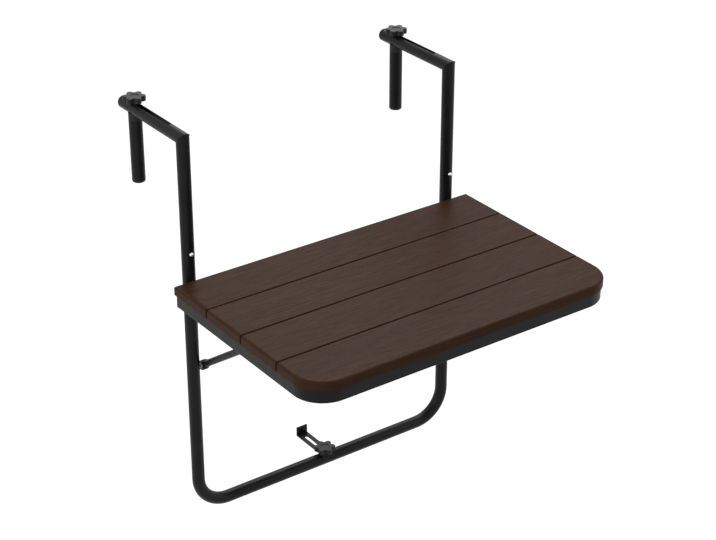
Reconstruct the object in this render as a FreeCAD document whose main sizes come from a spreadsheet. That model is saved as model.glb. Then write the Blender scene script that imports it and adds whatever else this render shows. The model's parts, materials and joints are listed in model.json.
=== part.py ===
"""Hanging bar table that hooks over a balcony railing, as a parametric document, in millimetres.

X runs along the railing, Y from the seat towards the railing, and Z up. The origin is where the table
hangs: midway between the hooks, on the top of the rail, against the posts' back faces.
"""
import FreeCAD, Part
import math
import os
import re
import Sketcher

SIZES = {
    # round steel tube of the posts, the hooks and the lower frame
    "tube_diameter": 22.0,
    "tube_wall": 1.2,
    "post_spacing": 528.0,
    "frame_drop": 451.0,
    "frame_bend": 58.0,
    "joint_drop": 20.0,
    "neck_length": 86.0,
    "neck_wall": 1.2,
    "neck_clearance": 0.2,
    "shoulder_height": 3.0,
    # hook arms over the rail
    "hook_rise": 245.0,
    "arm_reach": 184.0,
    "slot_start": 37.0,
    "slot_width": 7.0,
    "end_cap_height": 4.0,
    "end_cap_round": 2.6,
    "end_cap_plug": 12.0,
    "plug_clearance": 0.1,
    # pegs that close the hooks behind the rail
    "peg_reach": 150.0,
    "peg_diameter": 22.6,
    "peg_wall": 1.5,
    "peg_drop": 119.0,
    "saddle_height": 8.0,
    "saddle_rise": 5.0,
    "saddle_plug": 12.0,
    "peg_cap_height": 5.0,
    "peg_cap_round": 3.0,
    "slide_clearance": 0.3,
    # screws with star knobs
    "screw_diameter": 6.0,
    "hole_clearance": 0.2,
    "turn_clearance": 0.08,
    "hex_width": 10.0,
    "hex_height": 4.0,
    "washer_diameter": 15.0,
    "washer_height": 1.0,
    "knob_diameter": 38.0,
    "knob_height": 9.5,
    "knob_core": 28.0,
    "knob_lobe": 11.0,
    "knob_edge": 1.4,
    "knob_collar": 16.0,
    "knob_collar_height": 0.6,
    "knob_recess": 14.0,
    "knob_recess_depth": 1.2,
    "knob_cover": 1.6,
    # spring snap buttons that lock the hooks on the lower frame
    "button_rise": 45.5,
    "button_diameter": 7.0,
    "button_proud": 3.0,
    "button_flange": 10.0,
    "button_flange_height": 2.8,
    "button_clearance": 0.2,
    "spring_width": 7.0,
    "spring_thickness": 0.6,
    "spring_length": 42.0,
    # tabletop slats
    "slat_length": 600.0,
    "slat_width": 96.5,
    "slat_thickness": 16.0,
    "slat_gap": 3.0,
    "slat_edge": 2.0,
    "top_corner": 56.0,
    "back_gap": 2.0,
    # steel frame under the slats
    "rail_inset": 3.0,
    "rail_height": 23.0,
    "rail_width": 12.0,
    "rail_wall": 1.2,
    "cross_bar_spacing": 300.0,
    "cross_bar_width": 20.0,
    "cross_bar_height": 10.0,
    "slat_screw_diameter": 4.0,
    "slat_screw_depth": 9.0,
    "slat_screw_head": 8.0,
    "slat_screw_head_height": 2.0,
    "slat_screw_offset": 18.0,
    "slat_screw_inset": 4.5,
    # fold hinge at the posts
    "hinge_drop": 52.0,
    "ear_thickness": 3.0,
    "ear_radius": 9.0,
    "side_clearance": 0.3,
    # support bail under the table
    "pivot_drop": 172.0,
    "bail_diameter": 12.0,
    "bail_wall": 1.2,
    "bail_length": 240.0,
    "bail_bend": 36.0,
    "bail_eye_width": 17.0,
    "bail_eye_thickness": 4.0,
    "bail_eye_length": 14.0,
    "bail_taper": 12.0,
    "bail_drain": 4.0,
    "spacer_length": 3.6,
    "spacer_diameter": 11.0,
    "seat_clearance": 0.3,
    "saddle_plate": 2.0,
    "saddle_width": 20.0,
    "saddle_clearance": 0.5,
    "saddle_back_lip": 9.0,
    "saddle_front_lip": 1.4,
    "insert_diameter": 9.0,
    "insert_length": 9.0,
    # slotted stop bracket on the bottom run
    "strip_width": 22.0,
    "strip_thickness": 2.5,
    "strip_reach": 75.0,
    "strip_front": 11.0,
    "strip_slot_end": 62.0,
    "strip_slot_width": 7.0,
    "lip_height": 18.0,
}

# lengths and places that follow from the driving sizes
DERIVED = {
    "tube_radius": "tube_diameter / 2",
    "bore_radius": "tube_radius - tube_wall",
    "post_x": "post_spacing / 2",
    "post_y": "0 - tube_radius",
    "arm_z": "tube_radius",
    "top_z": "arm_z - hook_rise",
    "slat_z": "top_z - slat_thickness",
    "rail_z": "slat_z - rail_height",
    "back_y": "0 - tube_diameter - back_gap",
    "slat_pitch": "slat_width + slat_gap",
    "front_y": "back_y - 4 * slat_width - 3 * slat_gap",
    "joint_z": "top_z - joint_drop",
    "run_z": "top_z - frame_drop",
    "button_z": "top_z + button_rise",
    "hinge_z": "top_z - hinge_drop",
    "pivot_z": "top_z - pivot_drop",
    "peg_y": "post_y + peg_reach",
    "arm_end_y": "post_y + arm_reach",
    "screw_radius": "screw_diameter / 2",
    "hole_radius": "screw_radius + hole_clearance",
    "turn_radius": "screw_radius + turn_clearance",
    "neck_radius": "bore_radius - neck_clearance",
    "neck_bore": "neck_radius - neck_wall",
    "rail_x": "slat_length / 2 - rail_inset",
    "rail_front_y": "front_y + rail_inset",
    "rail_back_y": "back_y - rail_inset",
    "cross_z": "slat_z - cross_bar_height",
    "cross_x": "cross_bar_spacing / 2",
    "slat_screw_x": "cross_x - slat_screw_inset",
    "saddle_x": "slat_screw_x + slat_screw_head / 2 + saddle_clearance + saddle_width / 2",
    "bail_radius": "bail_diameter / 2",
    "seat_z": "cross_z - saddle_plate",
    "bail_rise": "seat_z - seat_clearance - bail_radius - pivot_z",
    "bail_x": "post_x - tube_radius - spacer_length - 2 * side_clearance - bail_eye_thickness / 2",
    "peg_radius": "peg_diameter / 2",
    "peg_washer_z": "arm_z + tube_radius + slide_clearance",
    "strip_z": "run_z + tube_radius + seat_clearance",
    "strip_top_z": "strip_z + strip_thickness",
    "stop_washer_z": "strip_top_z + seat_clearance / 3",
    "button_out_y": "0 - tube_diameter - button_proud",
    "button_inner_y": "post_y - neck_bore + button_flange_height",
}

SIDES = {"left": -1, "right": 1}
SLAT_COUNT = 4
LOBE_COUNT = 6
LOBE_START = math.radians(30)
X_AXIS = FreeCAD.Vector(1, 0, 0)
Y_AXIS = FreeCAD.Vector(0, 1, 0)
Z_AXIS = FreeCAD.Vector(0, 0, 1)
UPRIGHT = FreeCAD.Rotation()
WORD = re.compile(r"[a-z][a-z_]*")
NEAR = 1e-4

doc = FreeCAD.newDocument("railing_table")
sheet = doc.addObject("Spreadsheet::Sheet", "sheet")
nodes = []


def fill_sheet():
    """Write each driving size to a cell of its own under its alias."""
    for row, (alias, size) in enumerate(SIZES.items(), start=1):
        sheet.set(f"A{row}", alias)
        sheet.set(f"B{row}", str(size))
        sheet.setAlias(f"B{row}", alias)
    doc.recompute()


def formula(text):
    """Return an expression with derived lengths spelled out and driving sizes read from the sheet."""
    def spell(match):
        word = match.group(0)
        if word in DERIVED:
            return f"({formula(DERIVED[word])})"
        if word in SIZES:
            return f"sheet.{word}"
        return word
    return WORD.sub(spell, str(text))


def value(text):
    """Return what an expression comes to."""
    return float(FreeCAD.Units.Quantity(sheet.evalExpression(formula(text))).Value)


def bind(item, prop, text):
    """Tie a property to an expression of the sheet's sizes."""
    item.setExpression(prop, formula(text))


def place(item, x="0", y="0", z="0", turn=UPRIGHT):
    """Turn an object and tie its position to the sheet."""
    item.Placement = FreeCAD.Placement(FreeCAD.Vector(value(x), value(y), value(z)), turn)
    for key, text in (("x", x), ("y", y), ("z", z)):
        bind(item, f"Placement.Base.{key}", text)


def keep(item, label):
    """Name an object as one of the table's pieces."""
    item.Label = label
    nodes.append(item)
    return item


def turned(axis, angle):
    """Rotation about an axis by an angle in degrees."""
    return FreeCAD.Rotation(axis, angle)


# solids made of primitives


def box(name, x, y, z):
    """Box from three (low, high) pairs of expressions."""
    item = doc.addObject("Part::Box", name)
    for prop, (low, high) in (("Length", x), ("Width", y), ("Height", z)):
        bind(item, prop, f"({high}) - ({low})")
    place(item, x[0], y[0], z[0])
    return item


def cylinder(name, radius, height, x="0", y="0", z="0", turn=UPRIGHT):
    item = doc.addObject("Part::Cylinder", name)
    bind(item, "Radius", radius)
    bind(item, "Height", height)
    place(item, x, y, z, turn)
    return item


def cut(name, base, tools):
    """Take every tool away from the base."""
    item = doc.addObject("Part::Cut", name)
    item.Base = base
    item.Tool = tools[0] if len(tools) == 1 else fuse(f"{name}_tools", tools)
    return item


def fuse(name, parts):
    item = doc.addObject("Part::MultiFuse", name)
    item.Shapes = parts
    return item


ALONG_Y = turned(X_AXIS, -90)
ALONG_X = turned(Y_AXIS, 90)


# bodies made of sketches


def new_body(name):
    return doc.addObject("PartDesign::Body", name)


def origin_plane(body, role):
    for feature in body.Origin.OriginFeatures:
        if feature.Role == role:
            return feature
    raise ValueError(role)


def new_sketch(body, role, offset="0"):
    """Sketch on one of the body's origin planes, moved along the plane's normal."""
    count = sum(1 for item in body.Group if item.TypeId == "Sketcher::SketchObject")
    sketch = body.newObject("Sketcher::SketchObject", f"{body.Name}_sketch{count}")
    sketch.AttachmentSupport = [(origin_plane(body, role), "")]
    sketch.MapMode = "FlatFace"
    bind(sketch, "AttachmentOffset.Base.z", offset)
    return sketch


def hold(sketch, kind, args, text):
    """Add a constraint whose size is tied to an expression."""
    index = sketch.addConstraint(Sketcher.Constraint(kind, *args, value(text)))
    sketch.renameConstraint(index, f"size{index}")
    bind(sketch, f"Constraints.size{index}", text)


def hold_point(sketch, item, end, x, y):
    """Tie a point of the sketch to both of its coordinates."""
    hold(sketch, "DistanceX", (-1, 1, item, end), x)
    hold(sketch, "DistanceY", (-1, 1, item, end), y)


def polygon(sketch, points):
    """Closed outline through points given as pairs of expressions."""
    corners = [FreeCAD.Vector(value(x), value(y), 0) for x, y in points]
    count = len(corners)
    lines = [Part.LineSegment(corners[k], corners[(k + 1) % count]) for k in range(count)]
    first = sketch.addGeometry(lines, False)[0]
    for k in range(count):
        sketch.addConstraint(Sketcher.Constraint("Coincident", first + k, 2, first + (k + 1) % count, 1))
    for k, (x, y) in enumerate(points):
        hold_point(sketch, first + k, 1, x, y)


def rectangle(sketch, x, y):
    """Closed rectangle from two (low, high) pairs of expressions."""
    polygon(sketch, [(x[0], y[0]), (x[1], y[0]), (x[1], y[1]), (x[0], y[1])])


def circle(sketch, x, y, radius):
    centre = FreeCAD.Vector(value(x), value(y), 0)
    item = sketch.addGeometry(Part.Circle(centre, Z_AXIS, value(radius)), False)
    hold(sketch, "Radius", (item,), radius)
    hold_point(sketch, item, 3, x, y)


def u_spine(sketch, half_width, leg_y, run_y, bend):
    """Open path down one leg, round a bend, along the run, round a bend and up the other leg."""
    x, leg, run, radius = value(half_width), value(leg_y), value(run_y), value(bend)
    low, high = run + radius, x - radius
    right, turn = math.pi / 2, Z_AXIS
    shapes = [
        Part.LineSegment(FreeCAD.Vector(-x, leg, 0), FreeCAD.Vector(-x, low, 0)),
        Part.ArcOfCircle(Part.Circle(FreeCAD.Vector(-high, low, 0), turn, radius), 2 * right, 3 * right),
        Part.LineSegment(FreeCAD.Vector(-high, run, 0), FreeCAD.Vector(high, run, 0)),
        Part.ArcOfCircle(Part.Circle(FreeCAD.Vector(high, low, 0), turn, radius), 3 * right, 4 * right),
        Part.LineSegment(FreeCAD.Vector(x, low, 0), FreeCAD.Vector(x, leg, 0)),
    ]
    sketch.addGeometry(shapes, False)
    for k in range(len(shapes) - 1):
        sketch.addConstraint(Sketcher.Constraint("Tangent", k, 2, k + 1, 1))
    for kind, args in (("Vertical", (0,)), ("Horizontal", (2,)), ("Vertical", (4,)), ("Equal", (1, 3))):
        sketch.addConstraint(Sketcher.Constraint(kind, *args))
    hold(sketch, "Radius", (1,), bend)
    hold_point(sketch, 0, 1, f"0 - ({half_width})", leg_y)
    hold_point(sketch, 4, 2, half_width, leg_y)
    hold(sketch, "DistanceY", (-1, 1, 2, 1), run_y)


def pipe(body, spine, profile):
    """Sweep a profile along all edges of a spine."""
    item = body.newObject("PartDesign::AdditivePipe", f"{body.Name}_pipe")
    item.Profile = profile
    item.Spine = (spine, [f"Edge{k + 1}" for k in range(len(spine.Geometry))])
    return item


def pad(body, sketch, length, both_ways=False):
    item = body.newObject("PartDesign::Pad", f"{body.Name}_pad")
    item.Profile = sketch
    item.Midplane = both_ways
    bind(item, "Length", length)
    return item


def pocket(body, sketch, length, towards_normal=False, both_ways=False):
    """Cut a sketch into the body and make sure that something was cut."""
    doc.recompute()
    before = body.Shape.Volume
    item = body.newObject("PartDesign::Pocket", f"{body.Name}_pocket")
    item.Profile = sketch
    item.Reversed = towards_normal
    item.Midplane = both_ways
    bind(item, "Length", length)
    doc.recompute()
    if body.Shape.Volume >= before:
        raise ValueError(f"{item.Name} cuts nothing")
    return item


def revolve(body, sketch):
    """Turn a sketch of the plane XZ once about the body's Z axis."""
    item = body.newObject("PartDesign::Revolution", f"{body.Name}_turn")
    item.Profile = sketch
    item.ReferenceAxis = (sketch, ["V_Axis"])
    item.Angle = 360
    return item


def loft(body, first, last):
    item = body.newObject("PartDesign::AdditiveLoft", f"{body.Name}_loft")
    item.Profile = first
    item.Sections = [last]
    return item


def turned_body(name, points, x="0", y="0", z="0", turn=UPRIGHT):
    """Body of revolution from a profile of (radius, height) points, placed by its axis's foot."""
    body = new_body(name)
    sketch = new_sketch(body, "XZ_Plane")
    polygon(sketch, points)
    revolve(body, sketch)
    place(body, x, y, z, turn)
    return body


def edges_where(shape, test):
    """Names of the shape's edges that pass a test, in order."""
    return [f"Edge{k}" for k, edge in enumerate(shape.Edges, start=1) if test(edge)]


def round_edges(body, radius, test):
    """Fillet the body's edges that pass a test."""
    doc.recompute()
    base = body.Tip
    names = edges_where(base.Shape, test)
    if not names:
        raise ValueError(f"{body.Name} has no such edges")
    item = body.newObject("PartDesign::Fillet", f"{body.Name}_round")
    item.Base = (base, names)
    bind(item, "Radius", radius)
    doc.recompute()
    return item


def centre_of(edge):
    return edge.valueAt((edge.FirstParameter + edge.LastParameter) / 2)


def is_round_at(edge, height, radius):
    """True for a circle, or a part of one, of this radius at this height of its body."""
    curve = edge.Curve
    if not isinstance(curve, Part.Circle):
        return False
    return abs(curve.Radius - radius) < NEAR and abs(centre_of(edge).z - height) < NEAR


def is_level_at(edge, height):
    """True for an edge that lies at this height of its body."""
    return all(abs(z - height) < NEAR for z in [centre_of(edge).z] + [vertex.Z for vertex in edge.Vertexes])


# the lower frame and the hooks


def make_lower_frame():
    """One tube bent to a U, with a thinner neck on each leg for the hook's upright."""
    body = new_body("lower_frame_tube")
    leg = "joint_z - shoulder_height"
    spine = new_sketch(body, "XY_Plane")
    u_spine(spine, "post_x", leg, "run_z", "frame_bend")
    ring = new_sketch(body, "XZ_Plane", f"0 - ({leg})")
    circle(ring, "0 - post_x", "0", "tube_radius")
    circle(ring, "0 - post_x", "0", "bore_radius")
    pipe(body, spine, ring)
    shoulder = new_sketch(body, "XZ_Plane", "0 - joint_z")
    neck = new_sketch(body, "XZ_Plane", "0 - joint_z - neck_length")
    for side in SIDES.values():
        circle(shoulder, f"{side} * post_x", "0", "tube_radius")
        circle(shoulder, f"{side} * post_x", "0", "neck_bore")
        circle(neck, f"{side} * post_x", "0", "neck_radius")
        circle(neck, f"{side} * post_x", "0", "neck_bore")
    pad(body, shoulder, "shoulder_height")
    pad(body, neck, "neck_length")
    place(body, y="post_y", turn=turned(X_AXIS, 90))

    snug = "insert_diameter / 2 + plug_clearance"
    holes = [cylinder("stop_hole", snug, "tube_diameter", "0", "post_y", "run_z")]
    for name, side in SIDES.items():
        x = f"{side} * post_x"
        inward = turned(Y_AXIS, -90 * side)
        for kind, height in (("hinge", "hinge_z"), ("pivot", "pivot_z")):
            hole = cylinder(f"{kind}_hole_{name}", snug, "tube_diameter", x, "post_y", height, inward)
            holes.append(hole)
        opening = "button_diameter / 2 + button_clearance"
        holes.append(cylinder(f"neck_hole_{name}", opening, "tube_radius", x, "post_y", "button_z",
                              turned(X_AXIS, 90)))
    keep(cut("lower_frame_bored", body, holes), "lower_frame")


def mitre(name, side, keep_arm):
    """Block that takes away one side of the slanted plane where upright and arm meet."""
    span = "4 * tube_diameter"
    block = doc.addObject("Part::Box", name)
    for prop in ("Length", "Width", "Height"):
        bind(block, prop, span)
    slant = turned(X_AXIS, 135 if keep_arm else -45)
    corner = slant.multVec(FreeCAD.Vector(-0.5, -0.5, 0))
    place(block, f"{side} * post_x + {corner.x} * {span}", f"post_y + {corner.y} * {span}",
          f"arm_z + {corner.z} * {span}", slant)
    return block


def make_hook(name, side):
    """Upright and slotted arm, cut at 45 degrees where they are welded, with the arm's end cap."""
    x = f"{side} * post_x"
    length = "arm_z + tube_diameter - joint_z"
    outer = cylinder(f"upright_outer_{name}", "tube_radius", length, x, "post_y", "joint_z")
    bore = cylinder(f"upright_bore_{name}", "bore_radius", f"{length} + tube_diameter", x, "post_y",
                    "joint_z - tube_radius")
    opening = "button_diameter / 2 + button_clearance"
    hole = cylinder(f"upright_hole_{name}", opening, "tube_diameter", x, "post_y", "button_z",
                    turned(X_AXIS, 90))
    tools = [bore, hole, mitre(f"upright_mitre_{name}", side, False)]
    keep(cut(f"upright_{name}", outer, tools), f"hook_upright_{name}")

    start = "post_y - tube_diameter"
    length = f"arm_end_y - ({start})"
    outer = cylinder(f"arm_outer_{name}", "tube_radius", length, x, start, "arm_z", ALONG_Y)
    bore = cylinder(f"arm_bore_{name}", "bore_radius", f"{length} + tube_diameter", x, start, "arm_z",
                    ALONG_Y)
    tools = [bore, mitre(f"arm_mitre_{name}", side, True)]
    near, far = "post_y + slot_start + slot_width / 2", "peg_y + slot_width / 2 - screw_radius"
    low = "arm_z - tube_diameter"
    across = (f"{x} - slot_width / 2", f"{x} + slot_width / 2")
    tools.append(box(f"slot_{name}", across, (near, far), (low, "arm_z + tube_diameter")))
    for end, y in (("near", near), ("far", far)):
        tools.append(cylinder(f"slot_{end}_{name}", "slot_width / 2", "2 * tube_diameter", x, y, low))
    keep(cut(f"arm_{name}", outer, tools), f"hook_arm_{name}")

    plug = "bore_radius - plug_clearance"
    cap = turned_body(f"end_cap_{name}", [
        ("0", "0 - end_cap_plug"), (plug, "0 - end_cap_plug"), (plug, "0"),
        ("tube_radius", "0"), ("tube_radius", "end_cap_height"), ("0", "end_cap_height")],
        x, "arm_end_y", "arm_z", ALONG_Y)
    round_edges(cap, "end_cap_round",
                lambda edge: is_round_at(edge, value("end_cap_height"), value("tube_radius")))
    keep(cap, f"arm_end_cap_{name}")


# the pegs and the star knobs


def make_peg(name, side):
    """Tube that hangs from the arm's slot, with its saddle, foot cap, screw and washer."""
    x = f"{side} * post_x"
    tube_low, tube_high = "peg_cap_height - peg_drop", "0 - saddle_height"
    inner = "peg_radius - peg_wall"
    length = f"({tube_high}) - ({tube_low})"
    outer = cylinder(f"peg_outer_{name}", "peg_radius", length, x, "peg_y", tube_low)
    bore = cylinder(f"peg_bore_{name}", inner, f"{length} + 2 * peg_wall", x, "peg_y",
                    f"{tube_low} - peg_wall")
    keep(cut(f"peg_{name}", outer, [bore]), f"peg_tube_{name}")

    plug = f"{inner} - plug_clearance"
    cap = turned_body(f"peg_cap_{name}", [
        ("0", "0"), ("peg_radius", "0"), ("peg_radius", "peg_cap_height"), (plug, "peg_cap_height"),
        (plug, "peg_cap_height + end_cap_plug"), ("0", "peg_cap_height + end_cap_plug")],
        x, "peg_y", "0 - peg_drop")
    round_edges(cap, "peg_cap_round", lambda edge: is_round_at(edge, 0, value("peg_radius")))
    keep(cap, f"peg_foot_cap_{name}")

    block = turned_body(f"saddle_block_{name}", [
        ("hole_radius", "0 - saddle_height - saddle_plug"), (plug, "0 - saddle_height - saddle_plug"),
        (plug, "0 - saddle_height"), ("peg_radius", "0 - saddle_height"), ("peg_radius", "saddle_rise"),
        ("hole_radius", "saddle_rise")], x, "peg_y", "0")
    seat = cylinder(f"saddle_seat_{name}", "tube_radius + slide_clearance", "4 * peg_radius", x,
                    "peg_y - 2 * peg_radius", "arm_z", ALONG_Y)
    keep(cut(f"saddle_{name}", block, [seat]), f"peg_saddle_{name}")

    knob_z = "peg_washer_z + washer_height + turn_clearance"
    tip = f"{knob_z} + knob_collar_height + knob_height - knob_cover - turn_clearance"
    head_z = "0 - saddle_height - saddle_plug"
    screw = new_body(f"peg_screw_{name}")
    head = new_sketch(screw, "XY_Plane", f"{head_z} - hex_height")
    hexagon(head)
    pad(screw, head, "hex_height")
    shank = new_sketch(screw, "XY_Plane", head_z)
    circle(shank, "0", "0", "screw_radius")
    pad(screw, shank, f"{tip} - ({head_z})")
    place(screw, x, "peg_y", "0")
    keep(screw, f"peg_screw_{name}")

    keep(make_washer(f"washer_{name}", x, "peg_y", "peg_washer_z"), f"peg_washer_{name}")
    keep(make_knob(f"knob_{name}", x, "peg_y", knob_z), f"peg_knob_{name}")


def hexagon(sketch):
    """Six-sided outline of a screw head, two flats square to Y."""
    half = "hex_width / 2"
    points = []
    for k in range(LOBE_COUNT):
        angle = math.pi / 3 * k
        across = round(math.cos(angle) / math.cos(math.pi / 6), 9)
        along = round(math.sin(angle) / math.cos(math.pi / 6), 9)
        points.append((f"{half} * {across}", f"{half} * {along}"))
    polygon(sketch, points)


def make_washer(name, x, y, z):
    """Flat round washer."""
    return turned_body(name, [
        ("turn_radius", "0"), ("washer_diameter / 2", "0"), ("washer_diameter / 2", "washer_height"),
        ("turn_radius", "washer_height")], x, y, z)


def make_knob(name, x, y, z):
    """Star knob with six lobes, a low collar under it and a blind bore for the screw."""
    body = new_body(name)
    top = "knob_collar_height + knob_height"
    core = new_sketch(body, "XY_Plane", "knob_collar_height")
    circle(core, "0", "0", "knob_core / 2")
    pad(body, core, "knob_height")
    reach = "(knob_diameter - knob_lobe) / 2"
    lobe = new_sketch(body, "XY_Plane", "knob_collar_height")
    along, across = round(math.cos(LOBE_START), 9), round(math.sin(LOBE_START), 9)
    circle(lobe, f"{reach} * {along}", f"{reach} * {across}", "knob_lobe / 2")
    first = pad(body, lobe, "knob_height")
    doc.recompute()
    ring = body.newObject("PartDesign::PolarPattern", f"{name}_lobes")
    ring.Originals = [first]
    ring.Axis = (core, ["N_Axis"])
    ring.Angle = 360
    ring.Occurrences = LOBE_COUNT
    body.Tip = ring
    levels = [value("knob_collar_height"), value(top)]
    round_edges(body, "knob_edge", lambda edge: any(is_level_at(edge, level) for level in levels))
    collar = new_sketch(body, "XY_Plane", "0")
    circle(collar, "0", "0", "knob_collar / 2")
    pad(body, collar, "knob_collar_height + knob_edge")
    recess = new_sketch(body, "XY_Plane", top)
    circle(recess, "0", "0", "knob_recess / 2")
    pocket(body, recess, "knob_recess_depth")
    bore = new_sketch(body, "XY_Plane", "0")
    circle(bore, "0", "0", "turn_radius")
    pocket(body, bore, f"{top} - knob_cover", towards_normal=True)
    place(body, x, y, z)
    return body


# the snap buttons


def make_snap_button(name, side):
    """Domed pin and its bent leaf spring inside the neck."""
    x = f"{side} * post_x"
    length = "button_inner_y - button_out_y"
    pin = turned_body(f"button_{name}", [
        ("0", "0"), ("button_flange / 2", "0"), ("button_flange / 2", "button_flange_height"),
        ("button_diameter / 2", "button_flange_height"), ("button_diameter / 2", length),
        ("0", length)],
        x, "button_inner_y", "button_z", turned(X_AXIS, 90))
    round_edges(pin, "button_diameter / 2 - button_clearance",
                lambda edge: is_round_at(edge, value(length), value("button_diameter / 2")))
    flats = box(f"button_block_{name}", (f"{x} - button_flange", f"{x} + button_flange"),
                ("button_out_y - button_proud", "button_inner_y + button_proud"),
                ("button_z - button_flange", "button_z + button_flange"))
    shell = cylinder(f"button_shell_{name}", "neck_bore - button_clearance", "2 * button_flange", x,
                     "post_y", "button_z - button_flange")
    stem = cylinder(f"button_stem_{name}", "(button_diameter + button_clearance) / 2",
                    "tube_radius + button_proud", x, "post_y - neck_bore / 2", "button_z",
                    turned(X_AXIS, 90))
    keeper = fuse(f"button_keeper_{name}", [shell, stem])
    trimmed = doc.addObject("Part::Cut", f"button_waste_{name}")
    trimmed.Base = flats
    trimmed.Tool = keeper
    keep(cut(f"button_trim_{name}", pin, [trimmed]), f"snap_button_{name}")

    spring = new_body(f"spring_{name}")
    front = "button_inner_y + button_clearance"
    back = "post_y + sqrt(neck_bore ^ 2 - (spring_width / 2) ^ 2) - button_clearance"
    thick = "spring_thickness"
    low, high = "0 - spring_length", "button_flange / 2"
    profile = new_sketch(spring, "YZ_Plane")
    polygon(profile, [
        (front, high), (front, low), (back, low), (back, "button_flange / 2"),
        (f"{back} - {thick}", "button_flange / 2"), (f"{back} - {thick}", f"{low} + {thick}"),
        (f"{front} + {thick}", f"{low} + {thick}"), (f"{front} + {thick}", high)])
    pad(spring, profile, "spring_width", both_ways=True)
    place(spring, x, "0", "button_z")
    keep(spring, f"button_spring_{name}")


# the tabletop


def make_slats():
    """Four slats with rounded edges, the front one with round front corners."""
    for k in range(SLAT_COUNT):
        body = new_body(f"slat_{k + 1}")
        high = f"back_y - {k} * slat_pitch"
        low = f"{high} - slat_width"
        plan = new_sketch(body, "XY_Plane", "slat_z")
        rectangle(plan, ("0 - slat_length / 2", "slat_length / 2"), (low, high))
        pad(body, plan, "slat_thickness")
        if k == SLAT_COUNT - 1:
            corner = FreeCAD.Vector(0, value(low), value("slat_z + slat_thickness / 2"))
            round_edges(body, "top_corner", lambda edge: abs(centre_of(edge).z - corner.z) < NEAR
                        and abs(centre_of(edge).y - corner.y) < NEAR)
        top = value("top_z")
        round_edges(body, "slat_edge", lambda edge: is_level_at(edge, top))
        holes = new_sketch(body, "XY_Plane", "slat_z")
        for side in SIDES.values():
            for end in (-1, 1):
                y = f"{low} + slat_width / 2 + {end} * slat_screw_offset"
                circle(holes, f"{side} * slat_screw_x", y, "slat_screw_diameter / 2 + turn_clearance")
        pocket(body, holes, "slat_screw_depth + turn_clearance", towards_normal=True)
        keep(body, f"table_slat_{k + 1}")


def make_top_frame():
    """Bent side and front rail, rear rail and two cross bars, all of hollow rectangular tube."""
    body = new_body("table_rim")
    middle = "rail_height / 2"
    spine = new_sketch(body, "XY_Plane", f"rail_z + {middle}")
    half = "rail_width / 2"
    u_spine(spine, f"rail_x - {half}", "rail_back_y", f"rail_front_y + {half}",
            f"top_corner - rail_inset - {half}")
    section = new_sketch(body, "XZ_Plane", "0 - rail_back_y")
    for wall in ("0", "rail_wall"):
        rectangle(section, (f"0 - rail_x + {wall}", f"0 - rail_x + rail_width - {wall}"),
                  (f"rail_z + {wall}", f"slat_z - {wall}"))
    pipe(body, spine, section)
    keep(body, "table_rim")

    inner = "rail_x - rail_width"
    rear_low = "rail_back_y - rail_width"
    hollow_z = ("rail_z + rail_wall", "slat_z - rail_wall")
    outer = box("rear_outer", (f"0 - ({inner})", inner), (rear_low, "rail_back_y"), ("rail_z", "slat_z"))
    bore = box("rear_bore", (f"0 - ({inner}) - rail_width", f"{inner} + rail_width"),
               (f"{rear_low} + rail_wall", "rail_back_y - rail_wall"), hollow_z)
    keep(cut("rear_rail", outer, [bore]), "table_rear_rail")

    low, high = "rail_front_y + rail_width", rear_low
    for name, side in SIDES.items():
        x = f"{side} * cross_x"
        outer = box(f"cross_outer_{name}", (f"{x} - cross_bar_width / 2", f"{x} + cross_bar_width / 2"),
                    (low, high), ("cross_z", "slat_z"))
        hollow = "(cross_bar_width / 2 - rail_wall)"
        bore = box(f"cross_bore_{name}", (f"{x} - {hollow}", f"{x} + {hollow}"),
                   (f"{low} - rail_width", f"{high} + rail_width"),
                   ("cross_z + rail_wall", "slat_z - rail_wall"))
        under, screw_x = "cross_z - cross_bar_height / 2", f"{side} * slat_screw_x"
        holes = [cylinder(f"cross_hole_{name}_{k}", "slat_screw_diameter / 2 + turn_clearance",
                          "2 * cross_bar_height", screw_x, y, under)
                 for k, y in enumerate(slat_screw_places())]
        keep(cut(f"cross_{name}", outer, [bore] + holes), f"table_cross_bar_{name}")


def slat_screw_places():
    """Y of each slat screw along a cross bar, from the back."""
    return [f"back_y - {k} * slat_pitch - slat_width / 2 + {end} * slat_screw_offset"
            for k in range(SLAT_COUNT) for end in (1, -1)]


def make_slat_screws():
    """Pan-head screws that hold the slats from below, one group of separate solids."""
    screws = []
    for name, side in SIDES.items():
        for k, y in enumerate(slat_screw_places()):
            head = cylinder(f"slat_screw_head_{name}_{k}", "slat_screw_head / 2", "slat_screw_head_height",
                            f"{side} * slat_screw_x", y, "cross_z - slat_screw_head_height")
            shank = cylinder(f"slat_screw_shank_{name}_{k}", "slat_screw_diameter / 2",
                             "cross_bar_height + slat_screw_depth + slat_screw_head_height / 2",
                             f"{side} * slat_screw_x", y, "cross_z - slat_screw_head_height / 2")
            screws.append(fuse(f"slat_screw_{name}_{k}", [head, shank]))
    group = doc.addObject("Part::Compound", "slat_screw_group")
    group.Links = screws
    keep(group, "slat_screws")


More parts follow.
